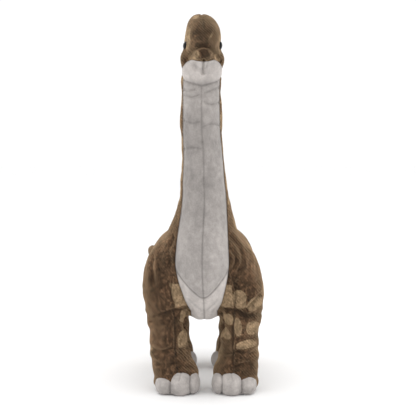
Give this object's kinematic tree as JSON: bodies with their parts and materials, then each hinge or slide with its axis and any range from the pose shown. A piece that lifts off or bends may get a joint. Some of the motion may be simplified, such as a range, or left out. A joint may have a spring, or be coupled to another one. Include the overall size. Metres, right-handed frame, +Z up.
{
  "type": "stuffed dinosaur",
  "caption": "Standing long-necked plush dinosaur with patterned brown cloth, a pale belly and throat, puffy toes, dark domed eyes and a neck, head, tail and legs that flex at their seams.",
  "frame": {"origin": "on the floor under the middle of the toy, in its left-right mid plane", "axes": "+Z up, -Y the way the dinosaur faces, +X its own left side"},
  "size_m": [0.1438, 0.3752, 0.4318],
  "materials": {
    "brown_plush": "short pile",
    "grey_plush": "short pile",
    "fibre_filling": "loose fibre",
    "eye": "polished",
    "washer": "moulded",
    "label": "woven"
  },
  "bodies": {
    "trunk": {"belly_left_panel": "grey_plush", "belly_right_panel": "grey_plush", "flank_left_panel": "brown_plush", "flank_right_panel": "brown_plush", "trunk_filling": "fibre_filling", "care_label": "label"},
    "neck": {"neck_front_left_panel": "grey_plush", "neck_front_right_panel": "grey_plush", "neck_side_left_panel": "brown_plush", "neck_side_right_panel": "brown_plush", "neck_filling": "fibre_filling"},
    "head": {"crown_left_panel": "brown_plush", "crown_right_panel": "brown_plush", "jaw_panel": "brown_plush", "chin_panel": "grey_plush", "head_filling": "fibre_filling", "eye_left": "eye", "eye_right": "eye", "eye_washer_left": "washer", "eye_washer_right": "washer"},
    "tail": {"tail_left_panel": "brown_plush", "tail_right_panel": "brown_plush", "tail_filling": "fibre_filling"},
    "front_left_leg": {"front_left_leg_outer_panel": "brown_plush", "front_left_leg_inner_panel": "brown_plush", "front_left_leg_filling": "fibre_filling", "front_left_sole": "grey_plush", "front_left_toes": "grey_plush"},
    "front_right_leg": {"front_right_leg_outer_panel": "brown_plush", "front_right_leg_inner_panel": "brown_plush", "front_right_leg_filling": "fibre_filling", "front_right_sole": "grey_plush", "front_right_toes": "grey_plush"},
    "rear_left_leg": {"rear_left_leg_outer_panel": "brown_plush", "rear_left_leg_inner_panel": "brown_plush", "rear_left_leg_filling": "fibre_filling", "rear_left_sole": "grey_plush", "rear_left_toes": "grey_plush"},
    "rear_right_leg": {"rear_right_leg_outer_panel": "brown_plush", "rear_right_leg_inner_panel": "brown_plush", "rear_right_leg_filling": "fibre_filling", "rear_right_sole": "grey_plush", "rear_right_toes": "grey_plush"}
  },
  "joints": [
    {"name": "neck_bend", "type": "hinge", "parent": "trunk", "child": "neck", "pos_m": [0, -0.121, 0.2], "axis": [1, 0, 0], "range_deg": [-12, 18], "stiffness_Nm_per_rad": 0.8},
    {"name": "head_nod", "type": "hinge", "parent": "neck", "child": "head", "pos_m": [0, -0.123, 0.338], "axis": [1, 0, 0], "range_deg": [-15, 18], "stiffness_Nm_per_rad": 0.5},
    {"name": "tail_swing", "type": "hinge", "parent": "trunk", "child": "tail", "pos_m": [0, 0.039, 0.141], "axis": [0, 0, 1], "range_deg": [-25, 25], "stiffness_Nm_per_rad": 0.3},
    {"name": "front_left_leg_swing", "type": "hinge", "parent": "trunk", "child": "front_left_leg", "pos_m": [0.0415, -0.123, 0.11], "axis": [1, 0, 0], "range_deg": [-15, 15], "stiffness_Nm_per_rad": 1},
    {"name": "front_right_leg_swing", "type": "hinge", "parent": "trunk", "child": "front_right_leg", "pos_m": [-0.0415, -0.123, 0.11], "axis": [1, 0, 0], "range_deg": [-15, 15], "stiffness_Nm_per_rad": 1},
    {"name": "rear_left_leg_swing", "type": "hinge", "parent": "trunk", "child": "rear_left_leg", "pos_m": [0.0385, 0.015, 0.104], "axis": [1, 0, 0], "range_deg": [-15, 15], "stiffness_Nm_per_rad": 1},
    {"name": "rear_right_leg_swing", "type": "hinge", "parent": "trunk", "child": "rear_right_leg", "pos_m": [-0.0385, 0.015, 0.104], "axis": [1, 0, 0], "range_deg": [-15, 15], "stiffness_Nm_per_rad": 1}
  ]
}
